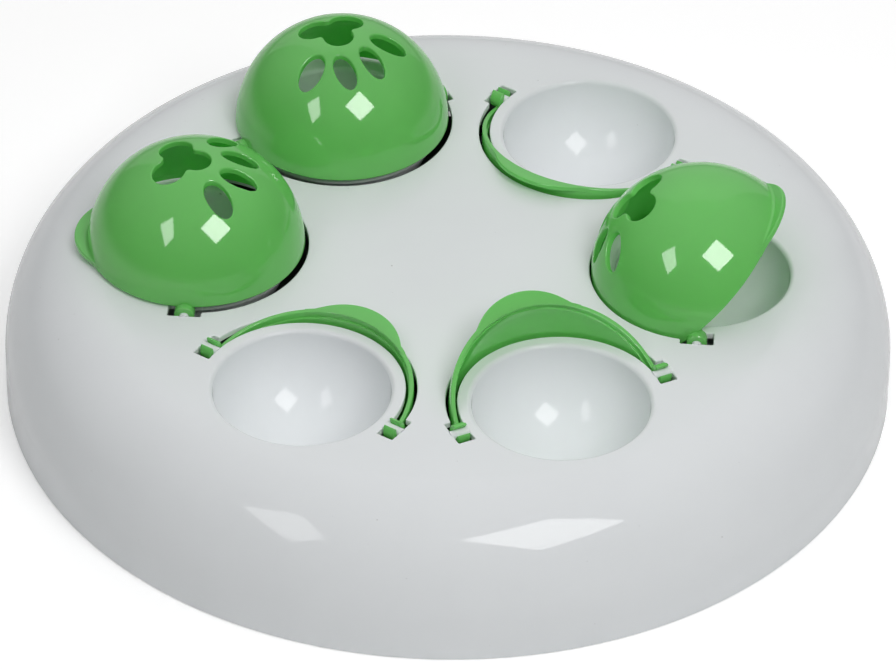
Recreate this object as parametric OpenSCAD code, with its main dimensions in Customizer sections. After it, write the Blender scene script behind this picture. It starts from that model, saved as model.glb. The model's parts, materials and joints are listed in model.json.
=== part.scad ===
// Round dog puzzle toy. A low white body carries six treat cups, and over each cup
// sits a green dome that flips on a clip hinge and dives through a half-round slot
// to lie under the cup.
// Millimetres, +Z up. The origin is on the floor under the middle of the body.
// Cup 1 lies on +X and the others follow every 60 degrees, anticlockwise from above.

/* [Body] */
// Outer diameter of the body
body_d = 360; // [320:1:400]
// Height of the flat top above the floor
top_h = 59.5; // [54:0.5:66]
// Radius of the rounded shoulder
shoulder_r = 41; // [34:0.5:46]
// Wall thickness of the body
body_wall = 2.5; // [2:0.1:3.5]
// Gap between the lower edge of the body and the floor
rim_gap = 0.6; // [0.4:0.1:2]
// Distance of the cup centres from the middle of the body
cup_pitch = 102.4; // [98:0.1:108]

/* [Cups] */
// Inside radius of a cup
cup_r = 35.4; // [32:0.1:36]
// Wall thickness of a cup
cup_wall = 2.2; // [1.8:0.1:2.4]
// Radius of the rounded cup edge
cup_edge = 2; // [0.5:0.1:2.2]
// Outside radius of the flat ring around a cup
ring_r = 41; // [40.6:0.1:41.1]
// Outside radius of the half-round slot
slot_r = 45.5; // [45.4:0.1:46]

/* [Hinges] */
// Depth of the hinge line below the top
hinge_drop = 1.2; // [1:0.1:1.6]
// Radius of a hinge pin
pin_r = 2; // [1.6:0.1:2.2]
// Radial play between a pin and its clip
pin_play = 0.06; // [0.03:0.01:0.1]
// Outside radius of a clip
clip_r = 4.1; // [3.6:0.1:4.4]
// Width of the mouth of a clip
clip_mouth = 3.4; // [2.8:0.1:3.6]
// Distance from the cup centre at which a clip starts
clip_in = 41.5; // [41.5:0.1:41.8]
// Distance from the cup centre at which a clip ends
clip_out = 46.9; // [46:0.1:47.2]
// Half length of a hinge notch, across the pin
notch_half = 6.65; // [6.4:0.05:7.5]
// Far end of a hinge notch from the cup centre
notch_end = 47.85; // [47.6:0.05:49]

/* [Domes] */
// Outside radius of a dome
dome_r = 44.1; // [43.8:0.1:44.2]
// Wall thickness of a dome
dome_wall = 2.3; // [2:0.1:2.4]
// Height of the dome centre above the hinge line, closed
dome_lift = 1; // [0.6:0.1:1]
// Height of the rim above the hinge line, closed
rim_lift = 2.5; // [2.3:0.1:3]
// Wall thickness of the thin band along the rim
band_wall = 1.8; // [1.5:0.1:2]
// Height of the thin band along the rim
band_h = 3; // [2:0.1:4]
// Reach of the thumb tab from the cup centre
tab_reach = 49.3; // [47:0.1:52]
// Radius of the rounded front of the thumb tab
tab_r = 25.9; // [22:0.1:30]
// Thickness of the thumb tab
tab_t = 2; // [1.5:0.1:2.2]

/* [Paw cut-out] */
// Radius of the two side lobes of the pad
pad_r = 6.7; // [6:0.1:7]
// Distance of the side lobes outward from the dome centre
pad_x = 9; // [8:0.1:9.4]
// Distance of the side lobes to either side
pad_y = 6.9; // [6.8:0.1:7.4]
// Radius of the front lobe of the pad
pad_front_r = 6.1; // [5:0.1:7]
// Distance of the front lobe inward from the dome centre
pad_front_x = 0.7; // [0:0.1:3]
// Radius of the two small hollows at the sides of the pad
pad_hollow = 2; // [1:0.1:3]
// Distance of the hollow between the side lobes from the dome centre
pad_dip = 12.7; // [11:0.1:13.4]
// Half length of a toe
toe_a = 7.4; // [6:0.1:8]
// Half width of an inner toe
toe_b = 4.1; // [3:0.1:5]
// Half width of an outer toe
toe_c = 4.8; // [3:0.1:5.5]
// Distance of the inner toes from the dome centre
toe_d = 19; // [18:0.1:21]
// Distance of the outer toes from the dome centre
toe_e = 20.5; // [19:0.1:24]
// Angle of the inner toes off the middle line
toe_u = 19.2; // [15:0.1:22]
// Angle of the outer toes off the middle line
toe_v = 59.6; // [54:0.1:62]
// Turn of the pad on the dome
pad_turn = -5.7; // [-8:0.1:5]
// Turn of the toes on the dome
toe_turn = 3.2; // [-5:0.1:5]
// Sideways shift of the whole paw print
paw_side = 1.8; // [-2.5:0.1:2.5]

/* [Feet] */
// Distance of the feet from the middle of the body
foot_pitch = 158; // [150:1:164]
// Radius of a foot
foot_r = 9; // [7:0.5:11]
// Thickness of the pad of a foot
foot_t = 2.4; // [2:0.1:3]

/* [Pose] */
// Opening angle of dome 1
angle_1 = 46; // [0:1:169]
// Opening angle of dome 2
angle_2 = 168; // [0:1:169]
// Opening angle of dome 3
angle_3 = 0; // [0:1:169]
// Opening angle of dome 4
angle_4 = 0; // [0:1:169]
// Opening angle of dome 5
angle_5 = 167; // [0:1:169]
// Opening angle of dome 6
angle_6 = 146; // [0:1:169]

/* [Hidden] */
$fn = 120;
body_r = body_d / 2;
flat_r = body_r - shoulder_r;
hinge_z = top_h - hinge_drop;
seat_t = 2.5;
split_r = foot_pitch - foot_r - 0.5;
neck_r = 2.5;
head_r = 3.6;
white = [0.86, 0.87, 0.88];
green = [0.31, 0.66, 0.27];
grey = [0.16, 0.16, 0.17];

// centre of a circle of radius r that touches two circles (p, rp) and (q, rq) from
// outside, on the left of the way from p to q
function touch(p, rp, q, rq, r) =
    let (d = norm(q - p), u = (q - p) / d, a = ((rp + r) * (rp + r) - (rq + r) * (rq + r) + d * d) / (2 * d),
         h = sqrt((rp + r) * (rp + r) - a * a))
    p + u * a + [-u[1], u[0]] * h;

// ---- body ---------------------------------------------------------------

// half section of the body, shrunk by s and reaching down to z = lo
module body_section(s, lo) {
    translate([0, lo]) square([body_r - s, top_h - shoulder_r - lo]);
    translate([0, lo]) square([flat_r, top_h - s - lo]);
    intersection() {
        translate([flat_r, top_h - shoulder_r]) circle(shoulder_r - s);
        translate([flat_r - 1, top_h - shoulder_r - 1]) square([shoulder_r + 2, shoulder_r + 2]);
    }
}

module skin() {
    rotate_extrude() difference() {
        body_section(0, rim_gap);
        body_section(body_wall, -5);
    }
}

// opening in the top for one cup, its slot and its two hinge notches
module station_hole() {
    circle(ring_r);
    intersection() {
        circle(slot_r);
        translate([-60, -60]) square([60, 120]);
    }
    for (s = [30, -notch_end])
        translate([-notch_half, s]) square([2 * notch_half, notch_end - 30]);
}

// one foot seat on crossed ribs, before it is trimmed to the inside of the skin
module foot_seat() {
    difference() {
        union() {
            translate([foot_pitch, 0, foot_t]) cylinder(h = seat_t, r = foot_r);
            translate([foot_pitch - foot_r, -1.1, foot_t]) cube([body_r - foot_pitch + foot_r, 2.2, top_h]);
            translate([foot_pitch - 1.1, -foot_r, foot_t]) cube([2.2, 2 * foot_r, top_h]);
        }
        translate([foot_pitch, 0, 0]) cylinder(h = 8, r = neck_r + 0.1);
        translate([foot_pitch, 0, foot_t + seat_t]) cylinder(h = 4.5, r = head_r + 1);
    }
}

// middle of the body: the flat top with its openings, out to the start of the shoulder
module body_top() {
    color(white) {
        difference() {
            intersection() {
                skin();
                cylinder(h = top_h + 1, r = split_r);
            }
            for (i = [0 : 5]) rotate(60 * i) translate([cup_pitch, 0, top_h - 6])
                linear_extrude(12) station_hole();
        }
        // seats for the outer ends of the hinge pins
        for (i = [0 : 5]) rotate(60 * i) translate([cup_pitch, 0, 0])
            for (s = [notch_end, -notch_end - 3.2])
                translate([-3.6, s, top_h - body_wall - 2.4]) cube([7.2, 3.2, 3.4]);
        // stiffening ring under the middle
        rotate_extrude() translate([48, top_h - body_wall - 8]) square([2, 9]);
    }
}

// outside of the body: the shoulder and the straight edge, with the foot seats
module body_skirt() {
    color(white) {
        difference() {
            skin();
            translate([0, 0, -1]) cylinder(h = top_h + 2, r = split_r);
        }
        intersection() {
            rotate_extrude() body_section(body_wall / 2, rim_gap + 0.5);
            for (i = [0 : 5]) rotate(60 * i + 30) foot_seat();
        }
    }
}

// ---- cups ---------------------------------------------------------------

module cup_section() {
    k = cup_r / (cup_r + cup_edge);
    ex = sqrt((cup_r + cup_edge) * (cup_r + cup_edge) - cup_edge * cup_edge);
    difference() {
        union() {
            intersection() {
                circle(cup_r + cup_wall);
                translate([0, -60]) square([60, 60]);
            }
            translate([0, -body_wall]) square([ring_r, body_wall]);
        }
        circle(cup_r);
        difference() {
            polygon([[20, 1], [ex, 1], [ex, -cup_edge], [k * ex, -k * cup_edge], [20, -k * cup_edge]]);
            translate([ex, -cup_edge]) circle(cup_edge);
        }
    }
}

module cup() {
    translate([0, 0, top_h]) rotate_extrude() intersection() {
        cup_section();
        translate([0, -80]) square([80, 100]);
    }
    for (s = [0, 180]) rotate(s) translate([0, ring_r - 1.2, hinge_z]) rotate([-90, 0, 0])
        cylinder(h = notch_end - ring_r + 1.2, r = pin_r);
}

module cup_at(i) rotate(60 * i) translate([cup_pitch, 0, 0]) cup();

module cup_1() { color(white) cup_at(0); }
module cup_2() { color(white) cup_at(1); }
module cup_3() { color(white) cup_at(2); }
module cup_4() { color(white) cup_at(3); }
module cup_5() { color(white) cup_at(4); }
module cup_6() { color(white) cup_at(5); }

// ---- domes --------------------------------------------------------------

// half section of a closed dome, hinge line at the origin
module dome_section() {
    difference() {
        intersection() {
            translate([0, dome_lift]) circle(dome_r);
            translate([0, rim_lift]) square([60, 60]);
        }
        translate([0, dome_lift]) circle(dome_r - dome_wall);
        translate([0, rim_lift - 1]) square([dome_r - band_wall, band_h + 1]);
    }
}

module pad() {
    p = [pad_x, pad_y];
    q = [-pad_front_x, 0];
    h = touch(q, pad_front_r, p, pad_r, pad_hollow);
    // radius of the hollow between the side lobes
    a = pad_dip - pad_x;
    g = (a * a + pad_y * pad_y - pad_r * pad_r) / (2 * pad_r - 2 * a);
    // each hollow bites a little into the lobes it touches
    bite = 0.05;
    difference() {
        polygon([p, h, q, [h[0], -h[1]], [p[0], -p[1]], [pad_dip + g, 0]]);
        translate(h) circle(pad_hollow + bite);
        translate([h[0], -h[1]]) circle(pad_hollow + bite);
        translate([pad_dip + g, 0]) circle(g + bite);
    }
    translate(p) circle(pad_r);
    translate([p[0], -p[1]]) circle(pad_r);
    translate(q) circle(pad_front_r);
}

// oval of half length a and half width b along the x axis
module oval(a, b) polygon([for (t = [0 : 15 : 345]) [a * cos(t), b * sin(t)]]);

module toes() {
    for (m = [0, 1]) mirror([0, m, 0]) {
        rotate(180 - toe_u) translate([toe_d, 0]) rotate(toe_u - 3) oval(toe_a, toe_b);
        rotate(180 - toe_v) translate([toe_e, 0]) rotate(6) oval(toe_a, toe_c);
    }
}

module clip_body() {
    translate([0, clip_in, 0]) rotate([-90, 0, 0]) cylinder(h = clip_out - clip_in, r = clip_r);
    translate([-clip_r, clip_in, 0]) cube([2 * clip_r, dome_r - 0.3 - clip_in, rim_lift + 2]);
}

module clip_hollow() {
    translate([0, clip_in - 1, 0]) rotate([-90, 0, 0]) cylinder(h = clip_out - clip_in + 2, r = pin_r + pin_play);
    translate([-clip_mouth / 2, clip_in - 1, -clip_r - 1]) cube([clip_mouth, clip_out - clip_in + 2, clip_r + 1]);
}

module dome() {
    difference() {
        union() {
            rotate_extrude() dome_section();
            // thumb tab
            translate([0, 0, rim_lift]) linear_extrude(tab_t) difference() {
                translate([tab_reach - tab_r, 0]) circle(tab_r);
                circle(dome_r - band_wall / 2);
            }
            clip_body();
            rotate(180) clip_body();
        }
        clip_hollow();
        rotate(180) clip_hollow();
        translate([0, paw_side, 12]) rotate(pad_turn) linear_extrude(50) pad();
        translate([0, paw_side, 12]) rotate(toe_turn) linear_extrude(50) toes();
    }
}

module dome_at(i, a) rotate(60 * i) translate([cup_pitch, 0, hinge_z]) rotate([0, -a, 0]) dome();

module flip_dome_1() { color(green) dome_at(0, angle_1); }
module flip_dome_2() { color(green) dome_at(1, angle_2); }
module flip_dome_3() { color(green) dome_at(2, angle_3); }
module flip_dome_4() { color(green) dome_at(3, angle_4); }
module flip_dome_5() { color(green) dome_at(4, angle_5); }
module flip_dome_6() { color(green) dome_at(5, angle_6); }

// ---- feet ---------------------------------------------------------------

module foot() {
    cylinder(h = foot_t, r = foot_r);
    cylinder(h = foot_t + seat_t, r = neck_r);
    translate([0, 0, foot_t + seat_t]) cylinder(h = 1.4, r = head_r);
    translate([0, 0, foot_t + seat_t + 1.4]) cylinder(h = 1.6, r1 = head_r, r2 = neck_r - 0.5);
}

module foot_at(i) rotate(60 * i + 30) translate([foot_pitch, 0, 0]) foot();

module foot_1() { color(grey) foot_at(0); }
module foot_2() { color(grey) foot_at(1); }
module foot_3() { color(grey) foot_at(2); }
module foot_4() { color(grey) foot_at(3); }
module foot_5() { color(grey) foot_at(4); }
module foot_6() { color(grey) foot_at(5); }

body_top();
body_skirt();
cup_1();
cup_2();
cup_3();
cup_4();
cup_5();
cup_6();
flip_dome_1();
flip_dome_2();
flip_dome_3();
flip_dome_4();
flip_dome_5();
flip_dome_6();
foot_1();
foot_2();
foot_3();
foot_4();
foot_5();
foot_6();
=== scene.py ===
import json
import math

import bpy
import numpy as np
from mathutils import Matrix, Vector
from mathutils.geometry import delaunay_2d_cdt


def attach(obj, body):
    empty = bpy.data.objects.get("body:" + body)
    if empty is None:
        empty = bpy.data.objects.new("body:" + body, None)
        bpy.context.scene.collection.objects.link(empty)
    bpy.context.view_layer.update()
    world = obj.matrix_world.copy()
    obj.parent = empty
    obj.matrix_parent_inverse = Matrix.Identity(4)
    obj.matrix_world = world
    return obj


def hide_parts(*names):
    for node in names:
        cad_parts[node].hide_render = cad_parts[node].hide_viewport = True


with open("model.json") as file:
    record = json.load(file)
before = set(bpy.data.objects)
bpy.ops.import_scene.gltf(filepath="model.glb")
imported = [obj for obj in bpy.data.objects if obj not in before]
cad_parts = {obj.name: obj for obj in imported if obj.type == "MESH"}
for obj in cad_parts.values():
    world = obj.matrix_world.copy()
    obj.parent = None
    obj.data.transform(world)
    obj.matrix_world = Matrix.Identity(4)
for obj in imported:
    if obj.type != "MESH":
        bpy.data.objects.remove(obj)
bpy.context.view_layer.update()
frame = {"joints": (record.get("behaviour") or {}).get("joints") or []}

# ---- sizes, in mm --------------------------------------------------------

TOP, R0, SHOULDER, WALL, GAP = 59.5, 179.9, 41.0, 2.5, 0.6
FLAT = R0 - SHOULDER
PITCH = 102.4
CUP_R, CUP_W, CUP_E = 35.4, 2.2, 2.0
RING, SLOT = 41.0, 45.5
HINGE_Z, PIN = 58.3, 1.94
CLIP_R, BORE, MOUTH, CLIP_IN, CLIP_OUT = 4.1, 2.06, 3.4, 41.5, 46.9
NOTCH, NOTCH_END = 6.65, 47.85
DOME_R, DOME_W, LIFT, RIM = 44.1, 2.3, 1.0, 2.5
BAND_W, BAND_H = 1.8, 3.0
TAB_REACH, TAB_R, TAB_T = 49.3, 25.9, 2.0
PAD_TURN, TOE_TURN, PAW_SIDE = -5.7, 3.2, 1.8
FOOT_PITCH, FOOT_R, FOOT_T, SEAT_T = 158.0, 9.0, 2.4, 2.5
EDGE = 0.5

# opening angle of each dome at rest: the joints' ranges start at minus this angle
REST = [-j["range_deg"][0] for j in sorted(frame["joints"], key=lambda j: j["name"])]


# ---- a small mesh builder ------------------------------------------------

class Net:
    """Vertices in mm, faces, and one normal for each corner of each face."""

    def __init__(self):
        self.v = np.zeros((0, 3))
        self.f, self.n = [], []

    def add(self, pts):
        start = len(self.v)
        self.v = np.vstack([self.v, np.asarray(pts, float).reshape(-1, 3)])
        return np.arange(start, len(self.v))

    def put(self, faces, normals):
        """faces m x k of vertex numbers, normals m x k x 3; each face is turned to the side that its normals show"""
        faces, normals = np.asarray(faces), np.asarray(normals, float)
        p = self.v[faces]
        if faces.shape[1] == 4:
            g = np.cross(p[:, 2] - p[:, 0], p[:, 3] - p[:, 1])
        else:
            g = np.cross(p[:, 1] - p[:, 0], p[:, 2] - p[:, 0])
        wrong = np.einsum("ij,ij->i", g, normals.mean(1)) < 0
        faces = np.where(wrong[:, None], faces[:, ::-1], faces)
        normals = np.where(wrong[:, None, None], normals[:, ::-1], normals)
        self.f += [tuple(int(i) for i in q) for q in faces]
        self.n.append(normals.reshape(-1, 3))

    def strip(self, a, b, na, nb, closed=True):
        n = len(a)
        i = np.arange(n if closed else n - 1)
        j = (i + 1) % n
        na, nb = np.broadcast_to(na, (n, 3)), np.broadcast_to(nb, (n, 3))
        self.put(np.stack([a[i], a[j], b[j], b[i]], 1), np.stack([na[i], na[j], nb[j], nb[i]], 1))

    def fan(self, a, tip, na, nt):
        n = len(a)
        i = np.arange(n)
        j = (i + 1) % n
        na, t = np.broadcast_to(na, (n, 3)), np.broadcast_to(nt, (n, 3))
        self.put(np.stack([a[i], a[j], np.full(n, tip)], 1), np.stack([na[i], na[j], t], 1))

    def fill(self, loops, flat, normal, inner=None, place=None):
        """triangles between the first loop and the others, which are holes; flat has each loop's points in the plane"""
        loops, flat = list(loops), [np.asarray(q, float) for q in flat]
        n_loops = len(flat)
        if inner is not None and len(inner):
            loops.append(self.add(place(inner)))
            flat.append(np.asarray(inner, float))
        ids, pts = np.concatenate(loops), np.vstack(flat)
        edges, s = [], 0
        for q in flat[:n_loops]:
            edges += [(s + i, s + (i + 1) % len(q)) for i in range(len(q))]
            s += len(q)
        out, _, tris, came, _, _ = delaunay_2d_cdt([Vector(p) for p in pts], edges, [], 0, 1e-7)
        tris = np.array([t for t in tris])
        number = np.array([ids[c[0]] if c else -1 for c in came])
        mid = np.array([[p[0], p[1]] for p in out])[tris].mean(1)
        keep = inside(mid, flat[0])
        for q in flat[1:n_loops]:
            keep &= ~inside(mid, q)
        faces = number[tris[keep]]
        if (faces < 0).any():
            raise RuntimeError("outlines cross")
        self.put(faces, normal(self.v[faces.ravel()]).reshape(-1, 3, 3))

    def mesh(self, name, turned=None, shift=(0.0, 0.0, 0.0)):
        me = bpy.data.meshes.new(name)
        m = np.eye(3) if turned is None else turned
        me.from_pydata(((self.v @ m.T + shift) / 1000.0).tolist(), [], self.f)
        me.polygons.foreach_set("use_smooth", [True] * len(me.polygons))
        n = np.vstack(self.n) @ m.T
        n /= np.linalg.norm(n, axis=1)[:, None]
        me.normals_split_custom_set(n.tolist())
        me.update()
        return me


def inside(p, loop):
    """which of the points lie inside the loop"""
    res = np.zeros(len(p), bool)
    q = np.roll(loop, -1, 0)
    x, y = p[:, 0], p[:, 1]
    for (ax, ay), (bx, by) in zip(loop, q):
        if ay == by:
            continue
        cross = (ay > y) != (by > y)
        res ^= cross & (x < (bx - ax) * (y - ay) / (by - ay) + ax)
    return res


def around(n):
    t = np.linspace(0, 2 * math.pi, n, endpoint=False)
    return np.stack([np.cos(t), np.sin(t)], 1)


def turn(net, runs, n, centre=(0.0, 0.0)):
    """surface of revolution about a vertical line; each run is a smooth list of (r, z, normal r, normal z)"""
    u = around(n)
    last_place, last, rings = None, None, []
    for run in runs:
        row = []
        for r, z, a, b in run:
            if last_place is not None and abs(r - last_place[0]) + abs(z - last_place[1]) < 1e-6:
                idx = last
            elif r < 1e-6:
                idx = net.add([[centre[0], centre[1], z]])
            else:
                idx = net.add(np.column_stack([centre[0] + r * u[:, 0], centre[1] + r * u[:, 1], np.full(n, z)]))
            k = math.hypot(a, b)
            row.append((idx, np.column_stack([u * a / k, np.full(n, b / k)])))
            last_place, last = (r, z), idx
        for (a, na), (b, nb) in zip(row, row[1:]):
            if len(b) == 1:
                net.fan(a, b[0], na, nb[:1] * 0 + [[0, 0, np.sign(row[-1][1][0][2])]])
            elif len(a) == 1:
                net.fan(b, a[0], nb, na[:1] * 0 + [[0, 0, np.sign(row[0][1][0][2])]])
            else:
                net.strip(a, b, na, nb)
        rings += [row[0][0], row[-1][0]]
    return rings


def arc(cx, cz, r, a0, a1, n, side=1.0):
    """points of a circular arc with its normals, from angle a0 to a1 in degrees"""
    out = []
    for t in np.radians(np.linspace(a0, a1, n + 1)):
        c, s = math.cos(t), math.sin(t)
        out.append((cx + r * c, cz + r * s, side * c, side * s))
    return out


def along(p, step):
    """a closed line resampled at about that step"""
    q = np.vstack([p, p[:1]])
    d = np.r_[0, np.cumsum(np.linalg.norm(np.diff(q, axis=0), axis=1))]
    n = max(8, int(round(d[-1] / step)))
    t = np.linspace(0, d[-1], n, endpoint=False)
    return np.column_stack([np.interp(t, d, q[:, 0]), np.interp(t, d, q[:, 1])])


def soften(p, step, width):
    """a closed line with its corners rounded"""
    p = along(p, step)
    w = max(1, int(round(width / step / 2)))
    for _ in range(2):
        p = sum(np.roll(p, k, 0) for k in range(-w, w + 1)) / (2 * w + 1)
    return p


def outward(p):
    """unit normals of a closed line, pointing out of the area it encloses"""
    t = np.roll(p, -1, 0) - np.roll(p, 1, 0)
    t /= np.linalg.norm(t, axis=1)[:, None]
    area = np.sum(p[:, 0] * np.roll(p[:, 1], -1) - p[:, 1] * np.roll(p[:, 0], -1))
    n = np.column_stack([t[:, 1], -t[:, 0]])
    return n if area > 0 else -n


def line(p, q, step=0.1):
    p, q = np.array(p, float), np.array(q, float)
    n = max(2, int(np.linalg.norm(q - p) / step))
    return p + (q - p) * np.linspace(0, 1, n, endpoint=False)[:, None]


def bow(c, r, a0, a1, step=0.1):
    n = max(3, int(abs(math.radians(a1 - a0)) * r / step))
    t = np.radians(np.linspace(a0, a1, n, endpoint=False))
    return np.column_stack([c[0] + r * np.cos(t), c[1] + r * np.sin(t)])


def spin(k):
    a = math.radians(60 * k)
    return np.array([[math.cos(a), -math.sin(a)], [math.sin(a), math.cos(a)]])


def box(net, lo, hi, bevel=0.3, turn_by=None):
    """a block with softened edges: three levels on each side"""
    lo, hi = np.array(lo, float), np.array(hi, float)
    e = min(bevel, 0.45 * float((hi - lo).min()))
    outline = np.array([[lo[0], lo[1]], [hi[0], lo[1]], [hi[0], hi[1]], [lo[0], hi[1]]])
    levels = [(e, lo[2], 0), (e * 0.3, lo[2] + e * 0.3, 1), (0, lo[2] + e, 2), (0, hi[2] - e, 2), (e * 0.3, hi[2] - e * 0.3, 3), (e, hi[2], 4)]
    rows = []
    for inset, z, kind in levels:
        a = lo[:2] + inset
        b = hi[:2] - inset
        c = max(e - inset * 0.5, 0.02) * 0.6
        q = np.array([[a[0] + c, a[1]], [b[0] - c, a[1]], [b[0], a[1] + c], [b[0], b[1] - c], [b[0] - c, b[1]], [a[0] + c, b[1]], [a[0], b[1] - c], [a[0], a[1] + c]])
        side = np.array([[0, -1], [0, -1], [1, 0], [1, 0], [0, 1], [0, 1], [-1, 0], [-1, 0]], float)
        up = {0: -1.0, 1: -0.7, 2: 0.0, 3: 0.7, 4: 1.0}[kind]
        nn = np.column_stack([side * math.sqrt(max(0.0, 1 - up * up)), np.full(8, up)])
        p = np.column_stack([q, np.full(8, z)])
        if turn_by is not None:
            p, nn = p @ turn_by.T, nn @ turn_by.T
        rows.append((net.add(p), nn, p))
    for (a, na, _), (b, nb, _) in zip(rows, rows[1:]):
        net.strip(a, b, na, nb)
    for (a, na, _) in (rows[0], rows[-1]):
        net.put([[a[0], a[1], a[4], a[5]], [a[1], a[2], a[3], a[4]], [a[0], a[5], a[6], a[7]]], np.broadcast_to(na[0], (3, 4, 3)))


# ---- materials -----------------------------------------------------------

def plastic(name, colour, deep, rough, wave, speck=0.0, speck_colour=(0.1, 0.1, 0.1, 1), shine=0.5, through=None):
    """glossy moulded plastic: a slow drift of colour and gloss, a slight waviness of the skin, a few specks of dust"""
    m = bpy.data.materials.new(name)
    m.use_nodes = True
    t = m.node_tree
    b = t.nodes["Principled BSDF"]
    place = t.nodes.new("ShaderNodeTexCoord")
    drift = t.nodes.new("ShaderNodeTexNoise")
    drift.inputs["Scale"].default_value = 22.0
    drift.inputs["Detail"].default_value = 4.0
    drift.inputs["Roughness"].default_value = 0.55
    t.links.new(place.outputs["Object"], drift.inputs["Vector"])
    ramp = t.nodes.new("ShaderNodeValToRGB")
    ramp.color_ramp.elements[0].position = 0.3
    ramp.color_ramp.elements[1].position = 0.7
    ramp.color_ramp.elements[0].color = (*deep, 1)
    ramp.color_ramp.elements[1].color = (*colour, 1)
    t.links.new(drift.outputs["Fac"], ramp.inputs["Fac"])
    tint = ramp.outputs["Color"]
    if speck:
        dust = t.nodes.new("ShaderNodeTexNoise")
        dust.inputs["Scale"].default_value = 420.0
        dust.inputs["Detail"].default_value = 1.0
        t.links.new(place.outputs["Object"], dust.inputs["Vector"])
        few = t.nodes.new("ShaderNodeMapRange")
        few.inputs["From Min"].default_value = 0.80
        few.inputs["From Max"].default_value = 0.86
        few.inputs["To Max"].default_value = speck
        t.links.new(dust.outputs["Fac"], few.inputs["Value"])
        mix = t.nodes.new("ShaderNodeMix")
        mix.data_type = "RGBA"
        t.links.new(few.outputs["Result"], mix.inputs["Factor"])
        t.links.new(tint, mix.inputs[6])
        mix.inputs[7].default_value = speck_colour
        tint = mix.outputs[2]
    t.links.new(tint, b.inputs["Base Color"])
    sheen = t.nodes.new("ShaderNodeTexNoise")
    sheen.inputs["Scale"].default_value = 60.0
    sheen.inputs["Detail"].default_value = 5.0
    t.links.new(place.outputs["Object"], sheen.inputs["Vector"])
    gloss = t.nodes.new("ShaderNodeMapRange")
    gloss.inputs["From Min"].default_value = 0.3
    gloss.inputs["From Max"].default_value = 0.7
    gloss.inputs["To Min"].default_value = rough[0]
    gloss.inputs["To Max"].default_value = rough[1]
    t.links.new(sheen.outputs["Fac"], gloss.inputs["Value"])
    t.links.new(gloss.outputs["Result"], b.inputs["Roughness"])
    skin = t.nodes.new("ShaderNodeTexNoise")
    skin.inputs["Scale"].default_value = wave[0]
    skin.inputs["Detail"].default_value = 2.0
    t.links.new(place.outputs["Object"], skin.inputs["Vector"])
    bump = t.nodes.new("ShaderNodeBump")
    bump.inputs["Strength"].default_value = wave[1]
    bump.inputs["Distance"].default_value = wave[2]
    t.links.new(skin.outputs["Fac"], bump.inputs["Height"])
    t.links.new(bump.outputs["Normal"], b.inputs["Normal"])
    b.inputs["IOR"].default_value = 1.55
    b.inputs["Specular IOR Level"].default_value = shine
    if through:
        # a thin wall lets some light through
        thin = t.nodes.new("ShaderNodeBsdfTranslucent")
        thin.inputs["Color"].default_value = (*through, 1)
        both = t.nodes.new("ShaderNodeAddShader")
        t.links.new(b.outputs["BSDF"], both.inputs[0])
        t.links.new(thin.outputs["BSDF"], both.inputs[1])
        t.links.new(both.outputs["Shader"], t.nodes["Material Output"].inputs["Surface"])
    return m


white = plastic("white_plastic", (0.873, 0.899, 0.914), (0.853, 0.879, 0.894), (0.03, 0.06), (45.0, 0.15, 0.0003), 0.5, (0.4, 0.4, 0.4, 1), shine=0.14)
green = plastic("green_plastic", (0.168, 0.530, 0.137), (0.150, 0.488, 0.121), (0.04, 0.08), (60.0, 0.12, 0.0002), shine=0.45, through=(0.08, 0.29, 0.067))
rubber = plastic("dark_rubber", (0.030, 0.030, 0.032), (0.020, 0.020, 0.022), (0.55, 0.75), (900.0, 0.5, 0.0001))


def piece(net, name, material, slot, body, *nodes, turned=None, shift=(0.0, 0.0, 0.0)):
    me = net.mesh(name, turned, shift)
    me.materials.append(material)
    o = bpy.data.objects.new(name, me)
    bpy.context.scene.collection.objects.link(o)
    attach(o, body)
    if nodes:
        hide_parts(*nodes)
    return o


# ---- body ----------------------------------------------------------------

def slot_outline():
    """half-round slot with a hinge notch at each end; x points away from the middle of the body"""
    sy = math.sqrt(SLOT ** 2 - NOTCH ** 2)
    a = math.degrees(math.acos(-NOTCH / SLOT))
    b = math.degrees(math.acos(NOTCH / RING))
    ry = RING * math.sin(math.radians(b))
    p = np.vstack([
        bow((0, 0), SLOT, a, 360 - a),
        line((-NOTCH, -sy), (-NOTCH, -NOTCH_END)), line((-NOTCH, -NOTCH_END), (NOTCH, -NOTCH_END)),
        line((NOTCH, -NOTCH_END), (NOTCH, -ry)),
        bow((0, 0), RING, 360 - b, b),
        line((NOTCH, ry), (NOTCH, NOTCH_END)), line((NOTCH, NOTCH_END), (-NOTCH, NOTCH_END)),
        line((-NOTCH, NOTCH_END), (-NOTCH, sy))])
    return along(soften(p, 0.1, 0.8), 0.36)


def crown(r, s):
    """height and normal of the top, or of its lower side, s mm below, at that distance from the middle"""
    d = np.maximum(np.asarray(r, float) - FLAT, 0.0)
    k = SHOULDER - s
    return TOP - SHOULDER + np.sqrt(k * k - d * d), d / k


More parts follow.
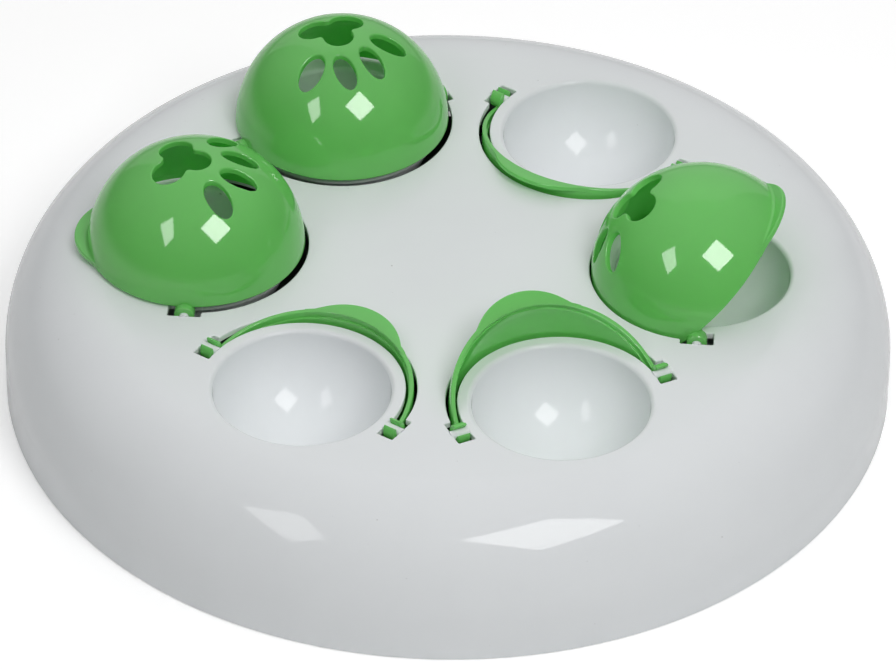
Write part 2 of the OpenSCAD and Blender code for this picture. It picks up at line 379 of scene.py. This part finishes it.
def body():
    net = Net()
    n = 360
    lower = TOP - SHOULDER
    e, f = 0.5, 0.4
    rim = FLAT + 5.0
    rings = turn(net, [
        arc(FLAT, lower, SHOULDER, math.degrees(math.acos(5.0 / SHOULDER)), 0, 36) + [(R0, GAP + e, 1, 0)],
        arc(R0 - e, GAP + e, e, 0, -90, 6) + [(R0 - WALL + f, GAP, 0, -1)] + arc(R0 - WALL + f, GAP + f, f, -90, -180, 4)[1:],
        [(R0 - WALL, GAP + f, -1, 0)] + arc(FLAT, lower, SHOULDER - WALL, 0, math.degrees(math.acos(5.0 / (SHOULDER - WALL))), 32, -1)], n)
    over, under = [rings[0]], [rings[-1]]
    u = around(n)
    over_flat, under_flat = [u * rim], [u * rim]
    hole = slot_outline()
    out = outward(hole)
    ex = math.sqrt((CUP_R + CUP_E) ** 2 - CUP_E ** 2)
    lip = math.degrees(math.atan2(CUP_E, -ex))
    start = math.degrees(math.atan2(-CUP_E * CUP_R, ex * CUP_R))
    foot = math.degrees(math.asin(-WALL / (CUP_R + CUP_W)))
    for k in range(6):
        m = spin(k)
        c = m @ [PITCH, 0]
        # slot: rounded upper edge, wall, lower edge
        o2 = out @ m.T
        rows = []
        for t in np.radians([0, 18, 36, 54, 72, 90]):
            q = (hole + out * EDGE * (1 - math.sin(t))) @ m.T + c
            rows.append((net.add(np.column_stack([q, np.full(len(q), TOP - EDGE * (1 - math.cos(t)))])),
                         np.column_stack([-o2 * math.sin(t), np.full(len(q), math.cos(t))]), q))
        for (a, na, _), (b, nb, _) in zip(rows, rows[1:]):
            net.strip(a, b, na, nb)
        q = hole @ m.T + c
        low = net.add(np.column_stack([q, np.full(len(q), TOP - WALL)]))
        side = np.column_stack([-o2, np.zeros(len(q))])
        net.strip(rows[-1][0], low, side, side)
        over.append(rows[0][0])
        over_flat.append(rows[0][2])
        under.append(low)
        under_flat.append(q)
        # cup: rounded lip, inside, outside
        nc = 180
        inner = turn(net, [
            [(x, TOP + z, a, b) for x, z, a, b in arc(ex, -CUP_E, CUP_E, 90, lip, 7)]
            + [(x, TOP + z, a, b) for x, z, a, b in arc(0, 0, CUP_R, start, -90, 30, -1)][1:]], nc, c)
        outer = turn(net, [[(x, TOP + z, a, b) for x, z, a, b in arc(0, 0, CUP_R + CUP_W, foot, -90, 24)]], nc, c)
        for ids, s, rows in ((inner[0], 0.0, 7), (outer[0], WALL, 1)):
            drop = crown(np.hypot(*net.v[ids, :2].T), s)[0] - (TOP - s)
            for j in range(rows):
                net.v[ids + nc * j, 2] += drop * (1 - j / rows)
        uc = around(nc)
        over.append(inner[0])
        over_flat.append(uc * ex + c)
        under.append(outer[0])
        under_flat.append(uc * (CUP_R + CUP_W) * math.cos(math.radians(foot)) + c)
    for loops, flat, s, sign in ((over, over_flat, 0.0, 1.0), (under, under_flat, WALL, -1.0)):
        more = np.vstack([around(n) * r for r in (FLAT, FLAT + 1.2, FLAT + 2.4, FLAT + 3.7)])
        keep = np.ones(len(more), bool)
        for q in flat[1:]:
            keep &= ~inside(more, q) & (np.linalg.norm(more[:, None] - q[None], axis=2).min(1) > 0.3)

        def normal(p, s=s, sign=sign):
            r = np.hypot(p[:, 0], p[:, 1])
            d = crown(r, s)[1]
            return sign * np.column_stack([p[:, :2] * (d / np.maximum(r, 1e-9))[:, None], np.sqrt(1 - d * d)])

        net.fill(loops, flat, normal, more[keep], lambda q, s=s: np.column_stack([q, crown(np.hypot(q[:, 0], q[:, 1]), s)[0]]))
    # hinge pins, each running into the ring and into its seat
    for k in range(6):
        m = spin(k)
        c = m @ [PITCH, 0]
        for s in (1, -1):
            ring = around(40)
            ends = []
            for y in (RING - 0.6, NOTCH_END + 0.6):
                p = np.column_stack([PIN * ring[:, 0], np.full(40, s * y)]) @ m.T + c
                ends.append(net.add(np.column_stack([p, HINGE_Z + PIN * ring[:, 1]])))
            nn = np.column_stack([np.column_stack([ring[:, 0], np.zeros(40)]) @ m.T, ring[:, 1]])
            net.strip(ends[0], ends[1], nn, nn)
            for ids, d in ((ends[0], -s), (ends[1], s)):
                tip = net.add([net.v[ids].mean(0)])[0]
                way = np.append(m @ [0, d], 0.0)
                net.fan(ids, tip, way, way)
    return net


def under_side():
    """what stiffens the body from below: a ring under the middle, pin seats, foot seats on crossed ribs"""
    net = Net()
    z = TOP - WALL
    turn(net, [[(50, z + 0.8, 1, 0), (50, z - 7.6, 1, 0)], arc(49.6, z - 7.6, 0.4, 0, -90, 3), [(49.6, z - 8, 0, -1), (48.4, z - 8, 0, -1)],
               arc(48.4, z - 7.6, 0.4, -90, -180, 3), [(48, z - 7.6, -1, 0), (48, z + 0.8, -1, 0)], [(48, z + 0.8, 0, 1), (50, z + 0.8, 0, 1)]], 180)
    mid = SHOULDER - WALL / 2
    lower = TOP - SHOULDER
    for k in range(6):
        m = np.eye(3)
        m[:2, :2] = spin(k)
        for s in (1, -1):
            y = sorted((s * NOTCH_END, s * (NOTCH_END + 3.2)))
            box(net, (PITCH - 3.6, y[0], z - 2.4), (PITCH + 3.6, y[1], z + 0.6), 0.4, m)
        m = np.eye(3)
        m[:2, :2] = spin(k + 0.5)

        def sheet(profile, half, across):
            """a flat rib of that outline (distance from the middle or sideways, height)"""
            profile = np.array(profile, float)
            rows = []
            for side in (-1, 1):
                if across:
                    p = np.column_stack([np.full(len(profile), FOOT_PITCH + side * half), profile])
                    way = np.array([side, 0.0, 0.0])
                else:
                    p = np.column_stack([profile[:, 0], np.full(len(profile), side * half), profile[:, 1]])
                    way = np.array([0.0, side, 0.0])
                rows.append((net.add(p @ m.T), way @ m.T))
            for ids, way in rows:
                net.fill([ids], [profile], lambda p, w=way: np.tile(w, (len(p), 1)))
            o = outward(profile)
            q = np.roll(profile, -1, 0) - profile
            for i in range(len(profile)):
                j = (i + 1) % len(profile)
                d = np.array([q[i][1], -q[i][0]])
                d /= np.linalg.norm(d)
                if d @ o[i] < 0:
                    d = -d
                w = (np.array([0, d[0], d[1]]) if across else np.array([d[0], 0, d[1]])) @ m.T
                net.put([[rows[0][0][i], rows[0][0][j], rows[1][0][j], rows[1][0][i]]], np.broadcast_to(w, (1, 4, 3)))

        top = [(FLAT + mid * math.cos(t), lower + mid * math.sin(t)) for t in np.linspace(0, math.acos((FOOT_PITCH - FOOT_R - FLAT) / mid), 16)]
        hole_z = FOOT_T + SEAT_T
        sheet([(FOOT_PITCH + FOOT_R - 1, FOOT_T + 0.3), (R0 - WALL / 2, FOOT_T + 0.3)] + top + [(FOOT_PITCH - FOOT_R, hole_z - 0.4), (FOOT_PITCH - 4.6, hole_z - 0.4), (FOOT_PITCH - 4.6, hole_z + 4.5), (FOOT_PITCH + 4.6, hole_z + 4.5), (FOOT_PITCH + 4.6, hole_z - 0.4), (FOOT_PITCH + FOOT_R - 1, hole_z - 0.4)], 1.1, False)
        roof = lower + math.sqrt(mid ** 2 - (FOOT_PITCH + 1.1 - FLAT) ** 2) - 0.3
        sheet([(-FOOT_R, hole_z - 0.4), (-4.6, hole_z - 0.4), (-4.6, hole_z + 4.5), (4.6, hole_z + 4.5), (4.6, hole_z - 0.4), (FOOT_R, hole_z - 0.4), (FOOT_R, roof), (-FOOT_R, roof)], 1.1, True)
        c = m[:2, :2] @ [FOOT_PITCH, 0]
        turn(net, [[(2.6, FOOT_T, -1, 0), (2.6, hole_z, -1, 0)], [(2.6, hole_z, 0, 1), (FOOT_R - 0.3, hole_z, 0, 1)], arc(FOOT_R - 0.3, hole_z - 0.3, 0.3, 90, 0, 3),
                   [(FOOT_R, hole_z - 0.3, 1, 0), (FOOT_R, FOOT_T + 0.3, 1, 0)], arc(FOOT_R - 0.3, FOOT_T + 0.3, 0.3, 0, -90, 3), [(FOOT_R - 0.3, FOOT_T, 0, -1), (2.6, FOOT_T, 0, -1)]], 64, c)
    return net


piece(body(), "body_moulding", white, "body_white", "body", "body_top", "body_skirt", *[f"cup_{i}" for i in range(1, 7)])
piece(under_side(), "body_ribs", white, "body_white", "body")


# ---- domes ---------------------------------------------------------------

def paw():
    """the five outlines of the cut-out; the toes point to the middle of the body"""
    p, q, r, s, h = np.array([9.0, 6.9]), np.array([-0.7, 0.0]), 6.7, 6.1, 2.0
    d = np.linalg.norm(p - q)
    u = (p - q) / d
    a = ((s + h) ** 2 - (r + h) ** 2 + d * d) / (2 * d)
    c = q + u * a + np.array([-u[1], u[0]]) * math.sqrt((s + h) ** 2 - a * a)
    dip = 12.7
    e = dip - p[0]
    g = (e * e + p[1] ** 2 - r * r) / (2 * r - 2 * e)
    w = np.array([dip + g, 0.0])
    flip = np.array([1.0, -1.0])

    def ang(v):
        return math.degrees(math.atan2(v[1], v[0]))

    half = []
    half.append(bow(w, g, 180, ang(p - w)))
    half.append(bow(p, r, ang(w - p), ang(c - p)))
    t0, t1 = ang(p - c), ang(q - c)
    half.append(bow(c, h, t0, t1 - 360 if t1 > t0 else t1))
    t0 = ang(c - q)
    half.append(bow(q, s, t0, 180))
    half = np.vstack(half + [[[q[0] - s, 0.0]]])
    pad = np.vstack([half, (half * flip)[::-1][1:-1]])
    out = [along(soften(pad, 0.1, 0.5), 0.5)]
    for d, at, a, b, way in ((19.0, 160.8, 7.4, 4.1, 177.0), (20.5, 120.4, 7.4, 4.8, 126.4)):
        t = np.radians(np.arange(0, 360, 1.0))
        x, y = a * np.cos(t), b * np.sin(t)
        cw, sw = math.cos(math.radians(way)), math.sin(math.radians(way))
        e = np.column_stack([x * cw - y * sw, x * sw + y * cw]) + d * np.array([math.cos(math.radians(at)), math.sin(math.radians(at))])
        out += [along(e, 0.5), along((e * flip)[::-1], 0.5)]
    return [q @ spin((PAD_TURN if q is out[0] else TOE_TURN) / 60).T + [0.0, PAW_SIDE] for q in out]


def scatter(radius, top, step, loops, gap):
    """points spread over the cap of a sphere, in arc length from its pole, clear of the loops"""
    pts = [np.zeros((1, 2))]
    j = 1
    while j * step < top - 0.5 * step:
        rho = j * step
        n = max(6, int(round(2 * math.pi * radius * math.sin(rho / radius) / step)))
        t = np.linspace(0, 2 * math.pi, n, endpoint=False) + 0.5 * j
        pts.append(rho * np.column_stack([np.cos(t), np.sin(t)]))
        j += 1
    pts = np.vstack(pts)
    keep = np.ones(len(pts), bool)
    for q in loops:
        keep &= ~inside(pts, q)
        keep &= (np.linalg.norm(pts[:, None] - q[None], axis=2).min(1) > gap)
    return pts[keep]


def dome():
    """closed dome, hinge line through the origin along y, thumb tab on the +x side"""
    net = Net()
    centre = np.array([0, 0, LIFT])
    n = 216
    r_in = DOME_R - DOME_W
    edge = 0.5
    z0 = RIM + edge
    r0 = math.sqrt(DOME_R ** 2 - (z0 - LIFT) ** 2)
    zb = RIM + BAND_H
    rb = DOME_R - BAND_W
    rl = math.sqrt(r_in ** 2 - (zb - LIFT) ** 2)
    rings = turn(net, [
        [(r0, z0, r0, z0 - LIFT)] + arc(r0 - edge, z0, edge, 0, -90, 5)[1:] + [(rb + 0.3, RIM, 0, -1)] + arc(rb + 0.3, RIM + 0.3, 0.3, -90, -180, 3)[1:] + [(rb, zb - 0.2, -1, 0)],
        arc(rb - 0.2, zb - 0.2, 0.2, 0, 90, 3, -1) + [(rl + 0.15, zb, 0, -1)],
        [(rl + 0.15, zb, 0, -1), (rl + 0.04, zb + 0.04, -0.7, -0.7), (rl - 0.01, zb + 0.15, -rl, -(zb - LIFT))]], n)
    rim_out, rim_in = rings[0], rings[-1]
    soft = 0.9
    outs, ins = [], []
    for c in paw():
        o = outward(c)

        def lift(q, r):
            return np.column_stack([q, LIFT + np.sqrt(r * r - (q ** 2).sum(1))])

        s = lift(c, DOME_R)
        slope = (o * c).sum(1) / (s[:, 2] - LIFT)
        p0 = lift(c + o * (soft / np.sqrt(1 + slope ** 2))[:, None], DOME_R)
        p2 = s - [0, 0, soft * 0.8]
        n0 = (p0 - centre) / DOME_R
        n2 = np.column_stack([-o, np.zeros(len(o))])
        rows = []
        for t in (0, 0.2, 0.4, 0.6, 0.8, 1.0):
            p = p0 * (1 - t) ** 2 + s * 2 * t * (1 - t) + p2 * t * t
            nn = n0 * (1 - t) + n2 * t
            rows.append((net.add(p), nn / np.linalg.norm(nn, axis=1)[:, None]))
        for (a, na), (b, nb) in zip(rows, rows[1:]):
            net.strip(a, b, na, nb)
        pi = lift(c, r_in)
        # inner edge a little broken
        a1 = net.add(pi + [0, 0, 0.2])
        a2 = net.add(lift(c + o * 0.2, r_in))
        net.strip(rows[-1][0], a1, n2, n2)
        n3 = (centre - net.v[a2]) / r_in
        mid = n2 + n3
        mid /= np.linalg.norm(mid, axis=1)[:, None]
        net.strip(a1, a2, mid, mid)
        outs.append(rows[0][0])
        ins.append(a2)

    def unroll(p, r):
        d = p - centre
        h = np.hypot(d[:, 0], d[:, 1])
        t = np.arctan2(h, d[:, 2]) * r
        return d[:, :2] * (t / np.maximum(h, 1e-9))[:, None]

    def roll(r):
        def f(q):
            t = np.hypot(q[:, 0], q[:, 1])
            a = t / r
            k = np.where(t > 1e-9, r * np.sin(a) / np.maximum(t, 1e-9), 1.0)
            return np.column_stack([q * k[:, None], LIFT + r * np.cos(a)])
        return f

    for rim, holes, r, side in ((rim_out, outs, DOME_R, 1), (rim_in, ins, r_in, -1)):
        flat = [unroll(net.v[rim], r)] + [unroll(net.v[h], r) for h in holes]
        top = np.linalg.norm(flat[0], axis=1).min()
        net.fill([rim] + holes, flat, lambda p, s=side, r=r: s * (p - centre) / np.linalg.norm(p - centre, axis=1)[:, None],
                 scatter(r, top, 1.6, flat[1:], 0.7), roll(r))

    # thumb tab: a flat crescent that runs into the dome with a small fillet
    steps = 73
    reach = 33.4
    rows = []
    for t in np.radians(np.linspace(-reach, reach, steps)):
        cx = TAB_REACH - TAB_R
        r_out = cx * math.cos(t) + math.sqrt(max(TAB_R ** 2 - (cx * math.sin(t)) ** 2, 0))
        zt = RIM + TAB_T
        wall = math.sqrt(DOME_R ** 2 - (zt - LIFT) ** 2)
        wide = max(r_out - wall, 0.12)
        r_out = wall + wide
        f = min(1.1, 0.55 * wide)
        e = min(0.75, 0.4 * wide)
        prof = []
        zf = zt + f
        wf = math.sqrt(DOME_R ** 2 - (zf - LIFT) ** 2)
        prof.append((wf - 0.9, zf + 0.2, 1, 0.05))
        for a in np.radians([0, 18, 36, 54, 72, 90]):
            x = wf + (wall + f - wf) * (1 - math.cos(a))
            prof.append((x, zf - f * math.sin(a), math.cos(a), math.sin(a)))
        for a in np.radians([90, 67, 45, 22, 0]):
            prof.append((r_out - e + e * math.cos(a), zt - e + e * math.sin(a), math.cos(a), math.sin(a)))
        eb = min(0.6, e)
        for a in np.radians([0, -22, -45, -67, -90]):
            prof.append((r_out - eb + eb * math.cos(a), RIM + eb + eb * math.sin(a), math.cos(a), math.sin(a)))
        prof.append((42.55, RIM + 0.02, 0, -1))
        prof.append((42.2, RIM + 0.5, -1, 0))
        prof.append((42.2, zf, -1, 0.1))
        prof = np.array(prof)
        c, s = math.cos(t), math.sin(t)
        ids = net.add(np.column_stack([prof[:, 0] * c, prof[:, 0] * s, prof[:, 1]]))
        rows.append((ids, np.column_stack([prof[:, 2] * c, prof[:, 2] * s, prof[:, 3]])))
    for (a, na), (b, nb) in zip(rows, rows[1:]):
        net.strip(a, b, na, nb)
    for (ids, _), s in ((rows[0], -1), (rows[-1], 1)):
        tip = net.add([net.v[ids].mean(0)])[0]
        way = np.array([0.0, s, 0.0])
        net.fan(ids, tip, way, way)

    # two C-clips, open below, each on a short riser under the rim
    o = math.degrees(math.asin(MOUTH / 2 / CLIP_R))
    i = math.degrees(math.asin(MOUTH / 2 / BORE))
    p = [bow((0, 0), CLIP_R, -90 + o, 270 - o)]
    a = np.array([CLIP_R * math.cos(math.radians(270 - o)), CLIP_R * math.sin(math.radians(270 - o))])
    b = np.array([BORE * math.cos(math.radians(270 - i)), BORE * math.sin(math.radians(270 - i))])
    p.append(line(a, b))
    p.append(bow((0, 0), BORE, 270 - i, -90 + i))
    p.append(line(b * [-1, 1], a * [-1, 1]))
    prof = along(soften(np.vstack(p), 0.05, 0.7), 0.25)
    out = outward(prof)
    for s in (1, -1):
        rows = []
        e = 0.8
        for t, end in [(t, 0) for t in (90, 60, 30, 0)] + [(t, 1) for t in (0, 30, 60, 90)]:
            a = math.radians(t)
            inset = e * (1 - math.cos(a))
            y = (CLIP_IN + e - e * math.sin(a)) if not end else (CLIP_OUT - e + e * math.sin(a))
            q = prof - out * inset * (np.clip((np.hypot(prof[:, 0], prof[:, 1]) - CLIP_R + 0.3) / 0.2, 0, 1) * np.clip((prof[:, 1] + 2.9) / 0.8, 0, 1))[:, None]
            way = (-1 if not end else 1) * s
            rows.append((net.add(np.column_stack([q[:, 0], np.full(len(q), s * y), q[:, 1]])),
                         np.column_stack([out[:, 0] * math.cos(a), np.full(len(q), way * math.sin(a)), out[:, 1] * math.cos(a)]), q, way))
        for (a, na, _, _), (b, nb, _, _) in zip(rows, rows[1:]):
            net.strip(a, b, na, nb)
        for ids, _, q, way in (rows[0], rows[-1]):
            net.fill([ids], [q], lambda v, w=way: np.tile([0.0, float(w), 0.0], (len(v), 1)))
        y = sorted((s * (CLIP_IN + 0.05), s * 42.85))
        for x0, x1 in ((-CLIP_R + 0.15, -BORE - 0.05), (BORE + 0.05, CLIP_R - 0.15)):
            box(net, (x0, y[0], 0.8), (x1, y[1], RIM + 2.2), 0.3)
        box(net, (-BORE - 0.6, y[0] + 0.05, BORE + 0.1), (BORE + 0.6, y[1] - 0.05, RIM + 2.15), 0.05)
    return net


def about(axis, degrees):
    return np.array(Matrix.Rotation(math.radians(degrees), 3, axis))


one_dome = dome()
for i in range(1, 7):
    m = about("Z", 60 * (i - 1))
    piece(one_dome, f"paw_dome_{i}", green, "dome_green", f"dome_{i}", f"flip_dome_{i}",
          turned=m @ about("Y", -REST[i - 1]), shift=m @ [PITCH, 0, HINGE_Z])


# ---- feet ----------------------------------------------------------------

def foot():
    """rubber plug: a pad with a ringed tread, a neck and a barbed head"""
    net = Net()
    h = FOOT_T + SEAT_T
    tread = []
    for r in (6.6, 4.2, 1.8):
        tread += [(r + 0.5, 0, 0, -1), (r + 0.3, 0.35, 0.6, -0.8), (r, 0.5, 0, -1), (r - 0.3, 0.35, -0.6, -0.8), (r - 0.5, 0, 0, -1)]
    turn(net, [
        [(0, h + 3.0, 0, 1), (1.6, h + 3.0, 0, 1)],
        [(1.6, h + 3.0, 0.4, 0.9), (2.0, h + 2.8, 0.7, 0.7), (3.4, h + 1.6, 0.75, 0.65), (3.6, h + 1.2, 1, 0), (3.6, h + 0.3, 1, 0), (3.3, h, 0.5, -0.8)],
        [(3.3, h, 0, -1), (2.5, h, 0, -1)], [(2.5, h, 1, 0), (2.5, FOOT_T, 1, 0)], [(2.5, FOOT_T, 0, 1), (FOOT_R - 0.4, FOOT_T, 0, 1)],
        arc(FOOT_R - 0.4, FOOT_T - 0.4, 0.4, 90, 0, 4) + arc(FOOT_R - 0.7, 0.7, 0.7, 0, -90, 5) + tread + [(0, 0, 0, -1)]], 72)
    return net


one_foot = foot()
for i in range(1, 7):
    m = about("Z", 60 * i - 30)
    piece(one_foot, f"rubber_foot_{i}", rubber, "foot_rubber", "body", f"foot_{i}", turned=m, shift=m @ [FOOT_PITCH, 0, 0])


# ---- floor, light, camera ------------------------------------------------

def ground(name, points, faces, colour, glow):
    """a flat piece of floor; colour and glow are a pair each, for near the object and for far away"""
    me = bpy.data.meshes.new(name)
    me.from_pydata(points, [], faces)
    m = bpy.data.materials.new(name)
    m.use_nodes = True
    t = m.node_tree
    b = t.nodes["Principled BSDF"]
    b.inputs["Roughness"].default_value = 0.9
    b.inputs["Specular IOR Level"].default_value = 0.1
    b.inputs["Emission Color"].default_value = (1, 1, 1, 1)
    place = t.nodes.new("ShaderNodeTexCoord")
    reach = t.nodes.new("ShaderNodeVectorMath")
    reach.operation = "LENGTH"
    t.links.new(place.outputs["Object"], reach.inputs[0])
    for pair, socket in ((colour, "Base Color"), (glow, "Emission Strength")):
        fade = t.nodes.new("ShaderNodeMapRange")
        fade.interpolation_type = "SMOOTHSTEP"
        fade.inputs["From Min"].default_value = 0.32
        fade.inputs["From Max"].default_value = 1.1
        fade.inputs["To Min"].default_value, fade.inputs["To Max"].default_value = pair
        t.links.new(reach.outputs["Value"], fade.inputs["Value"])
        t.links.new(fade.outputs["Result"], b.inputs[socket])
    me.materials.append(m)
    o = bpy.data.objects.new(name, me)
    bpy.context.scene.collection.objects.link(o)
    return o


# a pale floor that glows a little near the object, painted light on the object's lower sides, and is darker far away; a
# white sheet just above it that takes the shadow but lights nothing; under the object a dark disc, painted shade
near = [(0.175 * x, 0.175 * y, 0.0) for x, y in around(96)]
far = [(6 * x, 6 * y, 0.0) for x, y in around(96)]
# near the object this floor glows a little: painted light on the object's lower sides
ground("floor_around", near + far, [(96 + i, 96 + (i + 1) % 96, (i + 1) % 96, i) for i in range(96)], (0.92, 0.35), (0.05, 0.0))
sheet = [(x, y, 0.0002) for x, y, z in near + far]
sheet = ground("white_sheet", sheet, [(96 + i, 96 + (i + 1) % 96, (i + 1) % 96, i) for i in range(96)], (0.95, 0.95), (0.32, 0.32))
sheet.visible_diffuse = sheet.visible_glossy = sheet.visible_transmission = sheet.visible_shadow = False
# a dark disc under the object: painted shade standing in for the shade under it
ground("floor_below_painted_shade", near, [tuple(range(96))], (0.12, 0.12), (0.0, 0.0))

AZ, EL, ROLL, DIST = math.radians(4.058), 0.66975, 0.0106866, 2.848754
back = Vector((math.sin(AZ) * math.cos(EL), -math.cos(AZ) * math.cos(EL), math.sin(EL)))
right = Vector((math.cos(AZ), math.sin(AZ), 0))
up = back.cross(right)
r2 = right * math.cos(ROLL) + up * math.sin(ROLL)
u2 = up * math.cos(ROLL) - right * math.sin(ROLL)
cam = bpy.data.cameras.new("camera")
cam.sensor_width = 36.0
cam.sensor_fit = "HORIZONTAL"
cam.lens = 281.25
cam.clip_end = 50.0
co = bpy.data.objects.new("camera", cam)
bpy.context.scene.collection.objects.link(co)
place = Matrix((r2, u2, back)).transposed().to_4x4()
place.translation = Vector((0, 0, 0.01912)) + back * DIST
co.matrix_world = place
bpy.context.scene.camera = co


def softbox(name, az, el, dist, across, along_up, power, sheen=0.0, at=(0, 0, 0.06)):
    """a flat lamp seen from the middle of the object in that direction (degrees, azimuth from +x in the camera's frame);
    its two edges are (right, up, away) as seen from there; sheen is the power of a second lamp that only shows in gloss"""
    a, e = math.radians(az) + AZ, math.radians(el)
    d = Vector((math.cos(a) * math.cos(e), math.sin(a) * math.cos(e), math.sin(e)))
    x = Vector((0, 0, 1)).cross(d).normalized()
    y = d.cross(x)
    u, v = (x * p[0] + y * p[1] + d * p[2] for p in (across, along_up))
    m = Matrix((u.normalized(), v.normalized(), u.cross(v).normalized())).transposed().to_4x4()
    m.translation = Vector(at) + d * dist
    for title, energy in ((name, power), (name + "_sheen", sheen)):
        if energy:
            l = bpy.data.lights.new(title, "AREA")
            l.shape = "RECTANGLE"
            l.size, l.size_y = u.length, v.length
            l.energy = energy
            o = bpy.data.objects.new(title, l)
            bpy.context.scene.collection.objects.link(o)
            o.matrix_world = Matrix.Translation(d * (0.0 if title == name else 0.03)) @ m
            o.visible_diffuse = o.visible_transmission = title == name


softbox("softbox_right", -59.7, 50.3, 1.6, (0.59, 0.283, 0.0), (-0.283, 0.59, 0.0), 8.6, 9.0)
softbox("softbox_left", -132.0, 41.4, 1.6, (0.160, 0.363, 0.30), (-0.378, 0.466, -0.361), 2.4, 5.6)
softbox("backdrop", 90, 0, 1.6, (2.2, 0.0, 0.0), (0.0, 3.1, 0.0), 6.3, at=(0, 0, 1.55))

# soft light from the ceiling, a little more from behind
w = bpy.data.worlds.new("studio")
w.use_nodes = True
t = w.node_tree
way = t.nodes.new("ShaderNodeTexCoord")
lobes = []
for d, strength in (((0.0, 0.0, 1.0), 0.40), ((-0.05, 0.7, 0.71), 0.27)):
    facing = t.nodes.new("ShaderNodeVectorMath")
    facing.operation = "DOT_PRODUCT"
    facing.inputs[1].default_value = d
    t.links.new(way.outputs["Generated"], facing.inputs[0])
    fade = t.nodes.new("ShaderNodeMapRange")
    fade.interpolation_type = "SMOOTHSTEP"
    fade.inputs["To Max"].default_value = strength
    t.links.new(facing.outputs["Value"], fade.inputs["Value"])
    lobes.append(fade.outputs["Result"])
both = t.nodes.new("ShaderNodeMath")
t.links.new(lobes[0], both.inputs[0])
t.links.new(lobes[1], both.inputs[1])
bg = t.nodes["Background"]
bg.inputs["Color"].default_value = (1, 1, 1, 1)
t.links.new(both.outputs["Value"], bg.inputs["Strength"])
bpy.context.scene.world = w
bpy.context.scene.view_settings.view_transform = "Standard"
